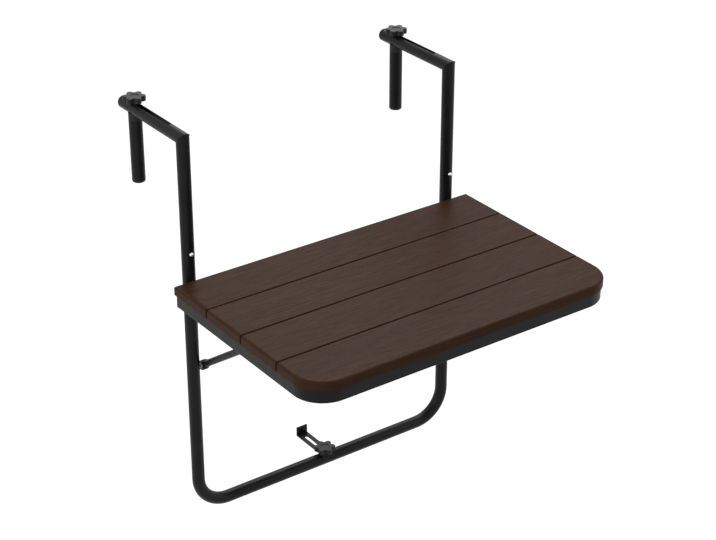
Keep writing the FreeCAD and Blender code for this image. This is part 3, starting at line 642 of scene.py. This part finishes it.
@dataclass(frozen=True)
class StarKnob(SubAssembly):
    """Moulded knob with six lobes, round valleys between them and a dished top."""

    node: str
    body: str
    lobes: int = 6
    lobe_start: float = 30.0
    core: float = 13.2 * MM
    lobe: float = 5.5 * MM
    valley: float = 3.2 * MM
    edge: float = 1.5 * MM
    collar: float = 8.0 * MM
    collar_height: float = 0.6 * MM
    dish: float = 7.2 * MM
    dish_depth: float = 1.25 * MM
    dish_rings: tuple[tuple[float, float], ...] = ((1.12, 0.0), (1.0, 0.35), (0.93, 1.0), (0.86, 1.0))
    collar_rings: tuple[tuple[float, float], ...] = ((1.05, 0.0), (1.0, 0.5), (0.97, 1.0))
    segments: int = 168
    halvings: int = 24

    def reach(self, angle: float, outer: float) -> float:
        """Radius of the star's outline, found by halving.

        Args:
            angle: Direction in radians.
            outer: Radius over the lobes.

        Returns:
            The radius in that direction.
        """
        pitch = 2 * math.pi / self.lobes
        off = (angle - math.radians(self.lobe_start) + pitch / 2) % pitch - pitch / 2
        middle = outer - self.lobe
        inside, outside = 0.0, outer * 1.1
        for _ in range(self.halvings):
            far = (inside + outside) / 2
            to_lobe = math.hypot(far * math.cos(off) - middle, far * math.sin(off)) - self.lobe
            to_core = far - self.core
            near = max(self.valley - abs(to_lobe - to_core), 0.0) / self.valley
            if min(to_lobe, to_core) - near * near * self.valley / 4 < 0:
                inside = far
            else:
                outside = far
        return inside

    def build(self) -> None:
        """Model the knob where its node is."""
        low, high = node_box(self.node)
        centre = (low + high) / 2
        outer = (high.y - low.y) / 2
        shape = Shape()
        base = low.z + self.collar_height
        made = bmesh.ops.create_circle(shape.mesh, segments=self.segments, radius=outer, cap_ends=True,
                                       matrix=Matrix.Translation((centre.x, centre.y, base)))
        shape.outline(made["verts"], lambda angle: self.reach(angle, outer), base, centre)
        top = shape.raise_face(shape.mesh.faces[:][0])
        bmesh.ops.translate(shape.mesh, verts=top.verts, vec=(0, 0, high.z - base))
        bmesh.ops.recalc_face_normals(shape.mesh, faces=shape.mesh.faces)
        level = [edge for edge in shape.mesh.edges
                 if abs(edge.verts[0].co.z - edge.verts[1].co.z) < TINY]
        shape.round_off(level, self.edge, 4)
        flat = [face for face in shape.mesh.faces if len(face.verts) >= self.segments]
        top = max(flat, key=lambda face: face.calc_center_median().z)
        bottom = min(flat, key=lambda face: face.calc_center_median().z)
        for scale, drop in self.dish_rings:
            shape.ring(top, lambda angle, far=self.dish * scale: far, high.z - drop * self.dish_depth, centre)
        for scale, drop in self.collar_rings:
            shape.ring(bottom, lambda angle, far=self.collar * scale: far,
                       base - drop * self.collar_height, centre)
        place_piece(shape.close(f"star_{self.node}"), self.body, "black_plastic", self.finishes.plastic,
                    self.node)


class Recess(Enum):
    """Drive that is cut into a screw's head."""

    CROSS = 4
    HEXAGON = 6

    def reach(self, angle: float, size: float, arm_share: float = 0.26) -> float:
        """Distance of the recess's outline from its axis.

        Args:
            angle: Direction in radians.
            size: Radius over its corners or arms.
            arm_share: Half the width of a cross's arm, as a share of its length.

        Returns:
            The distance in that direction.
        """
        half_pitch = math.pi / self.value
        off = abs((angle + half_pitch) % (2 * half_pitch) - half_pitch)
        if self is Recess.HEXAGON:
            return size * math.cos(half_pitch) / math.cos(off)
        arm = arm_share * size
        return size / math.cos(off) if size * math.tan(off) < arm else arm / math.sin(off)


@dataclass(frozen=True)
class Screw:
    """Screw with a domed head and a drive recess, modelled upright with its head's seat at z = 0."""

    head: float
    head_height: float
    shank: float
    length: float
    recess: Recess
    drive: float
    drive_depth: float
    wall: float = 0.45
    dome: tuple[tuple[float, float], ...] = ((0.96, 0.66), (0.86, 0.85), (0.70, 0.97), (0.60, 1.0))
    drive_taper: float = 0.92
    segments: int = 48

    def add(self, shape: Shape, seat: Matrix) -> None:
        """Add the screw to a shape.

        Args:
            shape: Shape that takes it.
            seat: Place of the head's seat, with Z pointing out of the head.
        """
        mesh = shape.mesh
        known = set(mesh.verts)
        axis = Vector()
        bmesh.ops.create_circle(mesh, segments=self.segments, radius=self.head, cap_ends=True)
        made = [vertex for vertex in mesh.verts if vertex not in known]
        face = made[0].link_faces[0]
        top = shape.raise_face(face)
        bmesh.ops.translate(mesh, verts=top.verts, vec=(0, 0, self.head_height * self.wall))
        for share, rise in self.dome:
            shape.ring(top, lambda angle, far=self.head * share: far, self.head_height * rise, axis)
        for taper, drop in ((1.0, 0.0), (self.drive_taper, self.drive_depth)):
            shape.ring(top, lambda angle, share=taper: self.recess.reach(angle, self.drive) * share,
                       self.head_height - drop, axis)
        for height in (0.0, -self.length):
            shape.ring(face, lambda angle: self.shank, height, axis)
        bmesh.ops.transform(mesh, matrix=seat, verts=[item for item in mesh.verts if item not in known])


@dataclass(frozen=True)
class Slats(SubAssembly):
    """Four slats, rounded along the table's outline, with a shallow grain pressed into their tops."""

    count: int = 4
    outer_edge: float = 4.0 * MM
    gap_edge: float = 0.7 * MM
    corner: float = 56.0 * MM
    rows: int = 150
    columns: int = 150
    grain_depth: float = 0.16 * MM
    grain: tuple[float, float] = (24.0, 520.0)
    fine_grain: tuple[float, float] = (24.0 * 2.3, 520.0 * 1.7)
    fine_share: float = 0.45
    groove_start: float = -0.12
    groove_wall: float = 0.3
    seed_step: float = 3.7
    fine_seed: float = 7.0
    on_cut: float = 1e-7

    def groove(self, x: float, y: float, seed: float) -> float:
        """How deep the grain is pressed at a point.

        Args:
            x: Place along the slat.
            y: Place across it.
            seed: Start of the slat's pattern.

        Returns:
            The depth from 0 to 1.
        """
        coarse = noise.noise(Vector((x * self.grain[0], y * self.grain[1], seed)))
        fine = noise.noise(Vector((x * self.fine_grain[0], y * self.fine_grain[1], seed + self.fine_seed)))
        return min(max((self.groove_start - coarse - self.fine_share * fine) / self.groove_wall, 0.0), 1.0)

    def build(self) -> None:
        """Model each slat where its node is."""
        for index in range(1, self.count + 1):
            self.build_slat(index)

    def build_slat(self, index: int) -> None:
        """Model one slat.

        Args:
            index: Number of the slat from the railing.
        """
        node = f"table_slat_{index}"
        low, high = node_box(node)
        size, centre = high - low, (high + low) / 2
        shape = Shape()
        mesh = shape.mesh
        bmesh.ops.create_cube(mesh, size=1.0,
                              matrix=Matrix.Translation(centre) @ Matrix.Diagonal((*size, 1.0)))
        if index == self.count:
            shape.round_off([edge for edge in mesh.edges if self.all_at(edge, 1, low.y)
                             and not self.all_at(edge, 2, edge.verts[0].co.z)], self.corner, 20)
        gap_sides = [y for y, is_gap in ((high.y, index > 1), (low.y, index < self.count)) if is_gap]
        shape.round_off([edge for edge in mesh.edges if self.all_at(edge, 2, high.z)
                         and not any(self.all_at(edge, 1, y) for y in gap_sides)], self.outer_edge, 6)
        shape.round_off([edge for edge in mesh.edges if any(self.all_at(edge, 1, y) for y in gap_sides)
                         and not self.all_at(edge, 2, low.z)], self.gap_edge, 3)
        self.divide(shape)
        self.press(mesh, high.z, float(index))
        piece = shape.close(f"grained_slat_{index}")
        place_piece(piece, "tabletop", "slat_wood", self.finishes.slats[index - 1], node)

    def all_at(self, edge: bmesh.types.BMEdge, axis: int, place: float) -> bool:
        """Whether both ends of an edge have the same given coordinate."""
        return all(abs(end.co[axis] - place) < TINY for end in edge.verts)

    def divide(self, shape: Shape) -> None:
        """Cut the flat top face into fine cells.

        Args:
            shape: The slat.
        """
        mesh = shape.mesh
        top = max((face for face in mesh.faces if face.normal.z > 0.999), key=lambda face: face.calc_area())
        level = top.calc_center_median().z
        ys = [vertex.co.y for vertex in top.verts]
        xs = [vertex.co.x for vertex in top.verts]
        first, last, wide = min(ys), max(ys), max(xs) - min(xs)
        for row in range(1, self.rows):
            y = first + (last - first) * row / self.rows
            faces = [face for face in mesh.faces if abs(face.calc_center_median().z - level) < TINY
                     and min(vertex.co.y for vertex in face.verts) < y - self.on_cut
                     and max(vertex.co.y for vertex in face.verts) > y + self.on_cut]
            parts = {item for face in faces for item in (*face.verts, *face.edges, face)}
            bmesh.ops.bisect_plane(mesh, geom=list(parts), dist=self.on_cut, plane_co=(0, y, 0),
                                   plane_no=(0, 1, 0))
        long_edges = [edge for edge in mesh.edges if self.all_at(edge, 2, level)
                      and abs(edge.verts[0].co.y - edge.verts[1].co.y) < self.on_cut
                      and abs(edge.verts[0].co.x - edge.verts[1].co.x) > wide / 2]
        bmesh.ops.subdivide_edges(mesh, edges=long_edges, cuts=self.columns - 1, use_grid_fill=True)

    def press(self, mesh: bmesh.types.BMesh, top: float, seed: float) -> None:
        """Press the grain into the top and keep its depth as an attribute.

        Args:
            mesh: Mesh of the slat.
            top: Height of its top.
            seed: Start of its pattern.
        """
        layer = mesh.verts.layers.float.new(RELIEF)
        for vertex in mesh.verts:
            if vertex.co.z > top - TINY and all(face.normal.z > 0.99 for face in vertex.link_faces):
                depth = self.groove(vertex.co.x, vertex.co.y, seed * self.seed_step)
                vertex[layer] = depth
                vertex.co.z -= depth * self.grain_depth


@dataclass(frozen=True)
class SlatScrews(SubAssembly):
    """Pan-head screws under the cross bars, two to each slat and bar."""

    x: float = 145.5 * MM
    first_y: float = -72.25 * MM
    pitch: float = 99.5 * MM
    offset: float = 18.0 * MM
    seat: float = -260.0 * MM
    slats: int = 4
    turn_by_slat: float = 0.7
    turn_by_end: float = 0.4
    screw: Screw = Screw(head=4.0 * MM, head_height=2.0 * MM, shank=2.0 * MM, length=19.0 * MM,
                         recess=Recess.CROSS, drive=2.3 * MM, drive_depth=1.2 * MM)

    def build(self) -> None:
        """Model all sixteen in one piece."""
        shape = Shape()
        for side in Side:
            for slat in range(self.slats):
                for end in (-1, 1):
                    y = self.first_y - slat * self.pitch + end * self.offset
                    turned = self.turn_by_slat * slat + self.turn_by_end * end + side.value
                    spin = Matrix.Rotation(turned, 4, "Z")
                    seat = Matrix.Translation((side.value * self.x, y, self.seat))
                    self.screw.add(shape, seat @ Matrix.Rotation(math.pi, 4, "X") @ spin)
        place_piece(shape.close("slat_screw_heads"), "tabletop", "zinc_steel", self.finishes.zinc,
                    "slat_screws")


@dataclass(frozen=True)
class SideScrew(SubAssembly):
    """Button-head screw along X, from inside the frame into a post."""

    kind: str
    side: Side
    head: float = 6.0 * MM
    head_height: float = 3.0 * MM
    shank: float = 3.0 * MM
    drive: float = 2.3 * MM
    drive_depth: float = 1.7 * MM

    def build(self) -> None:
        """Model the screw where its node is."""
        node = f"{self.kind}_screw_{self.side.word}"
        low, high = node_box(node)
        inner = high.x if self.side is Side.LEFT else low.x
        seat_x = inner + self.side.value * self.head_height
        length = high.x - low.x - self.head_height
        screw = Screw(self.head, self.head_height, self.shank, length, Recess.HEXAGON, self.drive,
                      self.drive_depth)
        shape = Shape()
        turn = Matrix.Rotation(-self.side.value * QUARTER, 4, "Y")
        centre = (low + high) / 2
        screw.add(shape, Matrix.Translation((seat_x, centre.y, centre.z)) @ turn)
        place_piece(shape.close(f"button_head_{node}"), "frame", "zinc_steel", self.finishes.zinc, node)


@dataclass(frozen=True)
class LeafSpring(SubAssembly):
    """Bent leaf behind a snap button, modelled at rest; the real leaf flattens as the button is pressed."""

    side: Side
    leaf: float = 0.6 * MM
    travel: float = 4.4 * MM

    def build(self) -> None:
        """Model the spring where its node is."""
        node = f"button_spring_{self.side.word}"
        low, high = node_box(node)
        bend = (high.y - low.y - self.leaf) / 2
        shape = Shape()
        mesh = shape.mesh
        front = low.y + self.leaf / 2
        turn = Vector((0.0, front + bend, low.z + bend + self.leaf / 2))
        ends = [mesh.verts.new((x, front, high.z)) for x in (low.x, high.x)]
        edges = shape.extend([mesh.edges.new(ends)], Vector((0.0, 0.0, turn.z - high.z)))
        edges = shape.bend(edges, turn, Vector((1.0, 0.0, 0.0)), math.pi, 12)
        shape.extend(edges, Vector((0.0, 0.0, high.z - turn.z)))
        bmesh.ops.recalc_face_normals(mesh, faces=mesh.faces)
        bmesh.ops.solidify(mesh, geom=mesh.faces[:], thickness=self.leaf)
        piece = shape.close(f"bent_{node}")
        self.fit(piece, low, high)
        place_piece(piece, "frame", "spring_steel", self.finishes.spring, node)
        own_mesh(piece)

    @staticmethod
    def fit(piece: bpy.types.Object, low: Vector, high: Vector) -> None:
        """Keep the leaf inside its node's box along Y.

        Args:
            piece: The leaf.
            low: Lowest corner of the box.
            high: Its highest corner.
        """
        ys = [vertex.co.y for vertex in piece.data.vertices]
        share = (high.y - low.y) / (max(ys) - min(ys))
        first = min(ys)
        for vertex in piece.data.vertices:
            vertex.co.y = low.y + (vertex.co.y - first) * share


def frame_at(place: Vector, along: Vector, scale: float = 1.0) -> Matrix:
    """Frame whose Z runs along a path.

    Args:
        place: Point of the path.
        along: Direction of the path there.
        scale: Scale of what is drawn in the frame.

    Returns:
        The frame.
    """
    return Matrix.LocRotScale(place, along.to_track_quat("Z", "Y"), Vector((scale, scale, scale)))


@dataclass(frozen=True)
class WeldBead:
    """Rippled weld bead along a line or round a mitre."""

    radius: float = 1.5 * MM
    step: float = 0.8 * MM
    ripple: float = 0.10
    wave: float = 2.6 * MM
    end_scale: float = 0.45
    taper_length: float = 2.5
    sides: int = 10
    mitre_steps: int = 112
    mitre_waves: int = 28

    def size(self, distance: float, length: float) -> float:
        """Scale of the bead at a point, small at both ends.

        Args:
            distance: How far the point is along the bead.
            length: Length of the bead.

        Returns:
            The scale.
        """
        end = min(distance, length - distance)
        taper = min(1.0, self.end_scale + end / (self.taper_length * self.radius))
        return taper * (1.0 + self.ripple * math.sin(2 * math.pi * distance / self.wave))

    def line(self, shape: Shape, start: Point, stop: Point) -> None:
        """Lay a straight bead.

        Args:
            shape: Shape that takes it.
            start: Its first point.
            stop: Its last point.
        """
        first, last = Vector(start), Vector(stop)
        length = (last - first).length
        count = max(4, round(length / self.step))
        along = (last - first).normalized()
        path = [frame_at(first.lerp(last, k / count), along, self.size(length * k / count, length))
                for k in range(count + 1)]
        shape.sweep(path, self.radius, self.sides)

    def mitre(self, shape: Shape, joint: Vector, tube: float) -> None:
        """Lay a bead round the slanted joint of an upright and its arm.

        Args:
            shape: Shape that takes it.
            joint: Centre of the joint.
            tube: Radius of both tubes, less what the bead sinks in.
        """
        count = self.mitre_steps
        points = [joint + tube * Vector((math.cos(turn), math.sin(turn), -math.sin(turn)))
                  for turn in (2 * math.pi * k / count for k in range(count))]
        path = []
        for k in range(count + 1):
            before, here, after = (points[(k + step) % count] for step in (-1, 0, 1))
            size = 1.0 + self.ripple * math.sin(2 * math.pi * self.mitre_waves * k / count)
            path.append(frame_at(here, (after - before).normalized(), size))
        shape.sweep(path, self.radius, self.sides, closed=True)


@dataclass(frozen=True)
class Welds(SubAssembly):
    """All weld beads of the hooks and of the tabletop's steel frame."""

    post_x: float = 264.0 * MM
    post_y: float = -11.0 * MM
    arm_z: float = 11.0 * MM
    tube: float = 10.75 * MM
    rim_in: float = 285.0 * MM
    rail_back: float = -27.0 * MM
    rail_front: float = -39.0 * MM
    rail_low: float = -273.0 * MM
    bar_low: float = -260.0 * MM
    bar_x: float = 150.0 * MM
    bar_half: float = 10.0 * MM
    rim_front: float = -404.0 * MM
    slat_low: float = -250.0 * MM
    ear_out: float = 252.7 * MM
    ear_in: float = 249.7 * MM
    rail_gap: float = 0.4 * MM
    rail_inset: float = 2.0 * MM
    bar_inset: float = 1.0 * MM
    bar_top_inset: float = 1.5 * MM
    ear_inset: float = 1.0 * MM
    fine: WeldBead = WeldBead(radius=0.8 * MM, ripple=0.06)
    plain: WeldBead = WeldBead(radius=1.4 * MM)

    def build(self) -> None:
        """Lay the beads of the hooks and of the tabletop."""
        hooks = Shape()
        for side in Side:
            joint = Vector((side.value * self.post_x, self.post_y, self.arm_z))
            self.fine.mitre(hooks, joint, self.tube)
        place_piece(hooks.close("hook_mitre_welds"), "frame", "powder_coat", self.finishes.coat)
        top = Shape()
        for side in Side:
            self.lay_table(top, side.value)
        place_piece(top.close("table_frame_welds"), "tabletop", "powder_coat", self.finishes.coat)

    def lay_table(self, shape: Shape, side: int) -> None:
        """Lay one side's beads under the tabletop.

        Args:
            shape: Shape that takes them.
            side: -1 for the left, 1 for the right.
        """
        bead = self.plain
        rail_x = side * self.rim_in
        for y in (self.rail_front, self.rail_back - self.rail_gap):
            bead.line(shape, (rail_x, y, self.rail_low + self.rail_inset),
                      (rail_x, y, self.slat_low - self.rail_inset))
        for y in (self.rail_front, self.rim_front):
            for edge in (-1, 1):
                x = side * self.bar_x + edge * self.bar_half
                bead.line(shape, (x, y, self.bar_low + self.bar_inset),
                          (x, y, self.slat_low - self.bar_top_inset))
            bead.line(shape, (side * self.bar_x - self.bar_half, y, self.bar_low),
                      (side * self.bar_x + self.bar_half, y, self.bar_low))
        for x in (side * self.ear_in, side * self.ear_out):
            bead.line(shape, (x, self.rail_front + self.ear_inset, self.rail_low),
                      (x, self.rail_back - self.ear_inset, self.rail_low))


@dataclass(frozen=True)
class Rim(SubAssembly):
    """Rectangular tube with rounded edges, bent round the table's two front corners."""

    width: float = 12.0 * MM
    corner: float = 53.0 * MM
    edge: float = 1.6 * MM
    edge_faces: int = 4
    bend_faces: int = 24

    def build(self) -> None:
        """Bend the tube where its node is."""
        low, high = node_box("table_rim")
        shape = Shape()
        mesh = shape.mesh
        middle = Vector((low.x + self.width / 2, high.y, (low.z + high.z) / 2))
        upright = Matrix.Rotation(QUARTER, 4, "X")
        size = Matrix.Diagonal((self.width, high.z - low.z, 1.0, 1.0))
        bmesh.ops.create_grid(mesh, x_segments=1, y_segments=1, size=0.5,
                              matrix=Matrix.Translation(middle) @ upright @ size)
        bmesh.ops.bevel(mesh, geom=mesh.verts[:], offset=self.edge, offset_type="OFFSET",
                        segments=self.edge_faces, profile=0.5, affect="VERTICES", material=-1)
        turn_y = low.y + self.corner
        turn_x = high.x - self.corner
        edges = shape.extend(mesh.edges[:], Vector((0.0, turn_y - high.y, 0.0)))
        for side in (Side.LEFT, Side.RIGHT):
            centre = Vector((side.value * turn_x, turn_y, 0.0))
            edges = shape.bend(edges, centre, Vector((0.0, 0.0, 1.0)), QUARTER, self.bend_faces)
            along = (2 * turn_x, 0.0) if side is Side.LEFT else (0.0, high.y - turn_y)
            edges = shape.extend(edges, Vector((*along, 0.0)))
        bmesh.ops.contextual_create(mesh, geom=edges)
        place_piece(shape.close("bent_rim_tube"), "tabletop", "powder_coat", self.finishes.coat,
                    "table_rim")


@dataclass(frozen=True)
class RimPlugs(SubAssembly):
    """Moulded plugs in the rim's open rear ends."""

    thickness: float = 2.0 * MM
    width: float = 12.0 * MM
    edge: float = 1.0 * MM

    def build(self) -> None:
        """Model both plugs in one piece."""
        low, high = node_box("table_rim")
        shape = Shape()
        for side in Side:
            x = side.value * (high.x - self.width / 2)
            centre = (x, high.y + self.thickness / 2, (low.z + high.z) / 2)
            size = (self.width, self.thickness, high.z - low.z)
            matrix = Matrix.Translation(centre) @ Matrix.Diagonal((*size, 1.0))
            made = bmesh.ops.create_cube(shape.mesh, size=1.0, matrix=matrix)
            edges = {edge for vertex in made["verts"] for edge in vertex.link_edges
                     if all(end.co.y > high.y + self.thickness / 2 for end in edge.verts)}
            shape.round_off(edges, self.edge, 3)
        place_piece(shape.close("rim_end_plugs"), "tabletop", "black_plastic", self.finishes.plastic)


class Table:
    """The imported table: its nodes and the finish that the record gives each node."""

    def __init__(self, frame: dict, finishes: Finishes) -> None:
        """Take the loaded frame.

        Args:
            finishes: The table's finishes.
        """
        self.nodes = frame["nodes"]
        self.finishes = finishes
        self.slots = {part["node"]: part["material_slot"] for part in frame["record"]["subparts"]}

    def dress_nodes(self) -> None:
        """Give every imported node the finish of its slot."""
        for name, node in sorted(self.nodes.items()):
            slot = self.slots[name]
            if slot == "slat_wood":
                material = self.finishes.slats[int(name[-1]) - 1]
            else:
                material = self.finishes.by_slot[slot]
            dress(node, material)
            LOG.info("%s wears %s", name, material.name)


@dataclass(frozen=True)
class Lamp:
    """Square softbox that faces a point of the table."""

    name: str
    place: Point
    side: float
    power: float
    aim: Point = (0.0, -0.15, -0.25)

    def hang(self) -> None:
        """Make the lamp."""
        data = bpy.data.lights.new(self.name, "AREA")
        data.shape = "SQUARE"
        data.size = self.side
        data.energy = self.power
        lamp = bpy.data.objects.new(self.name, data)
        lamp.location = self.place
        lamp.rotation_mode = "QUATERNION"
        lamp.rotation_quaternion = (Vector(self.aim) - Vector(self.place)).to_track_quat("-Z", "Y")
        bpy.context.scene.collection.objects.link(lamp)


@dataclass(frozen=True)
class Studio:
    """Pale floor, soft light and the camera in front of the table's left corner."""

    floor_height: float = -0.98
    floor_side: float = 30.0
    floor_white: float = 0.30
    floor_glow: float = 0.82
    ambient: float = 0.55
    azimuth: float = -35.677
    elevation: float = 27.730
    distance: float = 3.06661
    target: Point = (-0.029256, -0.154406, -0.231927)
    focal_pixels: float = 1878.757
    image_width: float = 716.0
    sensor: float = 36.0
    lamps: tuple[Lamp, ...] = (
        Lamp("softbox_left", (-2.3, -0.3, 0.7), 1.6, 20.0),
        Lamp("softbox_back", (1.0, 1.0, 1.5), 1.6, 30.0),
        Lamp("softbox_right", (2.0, -1.4, 0.3), 1.2, 9.0),
    )

    def build(self) -> None:
        """Set up floor, world, lamps, camera and the colour transform."""
        self.lay_floor()
        self.light_world()
        for lamp in self.lamps:
            lamp.hang()
        self.set_camera()
        bpy.context.scene.view_settings.view_transform = "Standard"

    @staticmethod
    def seen(graph: Graph, with_diffuse: float) -> bpy.types.NodeSocket:
        """Strength that is 1 for what is seen or mirrored, and less for light on the table.

        Args:
            graph: Tree that holds the nodes.
            with_diffuse: Strength for all other rays.

        Returns:
            The strength.
        """
        path = graph.node("LightPath").outputs
        mirrored = graph.math("MAXIMUM", path["Is Glossy Ray"], path["Is Transmission Ray"])
        seen = graph.math("MAXIMUM", path["Is Camera Ray"], mirrored)
        return graph.spread(seen, 0.0, 1.0, with_diffuse, 1.0)

    def lay_floor(self) -> None:
        """Lay the pale floor that keeps the table's shadow."""
        mesh = bmesh.new()
        bmesh.ops.create_grid(mesh, x_segments=1, y_segments=1, size=self.floor_side / 2)
        data = bpy.data.meshes.new("floor")
        bmesh.ops.translate(mesh, verts=mesh.verts, vec=(0, 0, self.floor_height))
        mesh.to_mesh(data)
        mesh.free()
        floor = bpy.data.objects.new("floor", data)
        bpy.context.scene.collection.objects.link(floor)
        dress(floor, self.paint_floor())

    def paint_floor(self) -> bpy.types.Material:
        """Make the floor's pale surface, clear when it is seen from below.

        Returns:
            The material.
        """
        graph = Graph("pale_floor")
        matt = graph.node("BsdfDiffuse", Color=(*(self.floor_white,) * 3, 1.0))
        strength = graph.math("MULTIPLY", self.seen(graph, 0.0), self.floor_glow)
        glow = graph.node("Emission", Strength=strength)
        both = graph.node("AddShader")
        upper_side_only = graph.node("MixShader")
        for socket, given in (
                (both.inputs[0], matt.outputs["BSDF"]),
                (both.inputs[1], glow.outputs["Emission"]),
                (upper_side_only.inputs[0], graph.node("NewGeometry").outputs["Backfacing"]),
                (upper_side_only.inputs[1], both.outputs["Shader"]),
                (upper_side_only.inputs[2], graph.node("BsdfTransparent").outputs["BSDF"]),
                (graph.output.inputs["Surface"], upper_side_only.outputs["Shader"])):
            graph.feed(socket, given)
        return graph.owner

    def light_world(self) -> None:
        """White where it is seen, dimmer as light on the table."""
        graph = Graph("studio", world=True)
        background = graph.node("Background", Color=(1.0, 1.0, 1.0, 1.0),
                                Strength=self.seen(graph, self.ambient))
        graph.feed(graph.output.inputs["Surface"], background.outputs["Background"])
        bpy.context.scene.world = graph.owner

    def set_camera(self) -> None:
        """Place the camera on its line of sight."""
        data = bpy.data.cameras.new("camera")
        data.sensor_width = self.sensor
        data.lens = self.focal_pixels * self.sensor / self.image_width
        camera = bpy.data.objects.new("camera", data)
        turn, rise = math.radians(self.azimuth), math.radians(self.elevation)
        back = Vector((math.sin(turn) * math.cos(rise), -math.cos(turn) * math.cos(rise), math.sin(rise)))
        camera.location = Vector(self.target) + back * self.distance
        camera.rotation_mode = "QUATERNION"
        camera.rotation_quaternion = (-back).to_track_quat("-Z", "Y")
        bpy.context.scene.collection.objects.link(camera)
        bpy.context.scene.camera = camera


def main() -> None:
    """Load the frame, dress the table and set up the studio."""
    logging.basicConfig(level=logging.INFO, format="%(name)s: %(message)s")
    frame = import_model()
    table = Table(frame, Finishes())
    table.dress_nodes()
    finishes = table.finishes
    pieces = [Slats(finishes)]
    pieces += [StarKnob(finishes, f"peg_knob_{side.word}", f"knob_{side.word}") for side in Side]
    pieces += [StarKnob(finishes, "stop_knob", "stop_knob"), SlatScrews(finishes)]
    for side in Side:
        pieces += [SideScrew(finishes, kind, side) for kind in ("hinge", "bail")]
        pieces.append(LeafSpring(finishes, side))
    pieces += [Welds(finishes), Rim(finishes), RimPlugs(finishes)]
    for piece in pieces:
        piece.build()
    Studio().build()


if __name__ == "__main__":
    main()
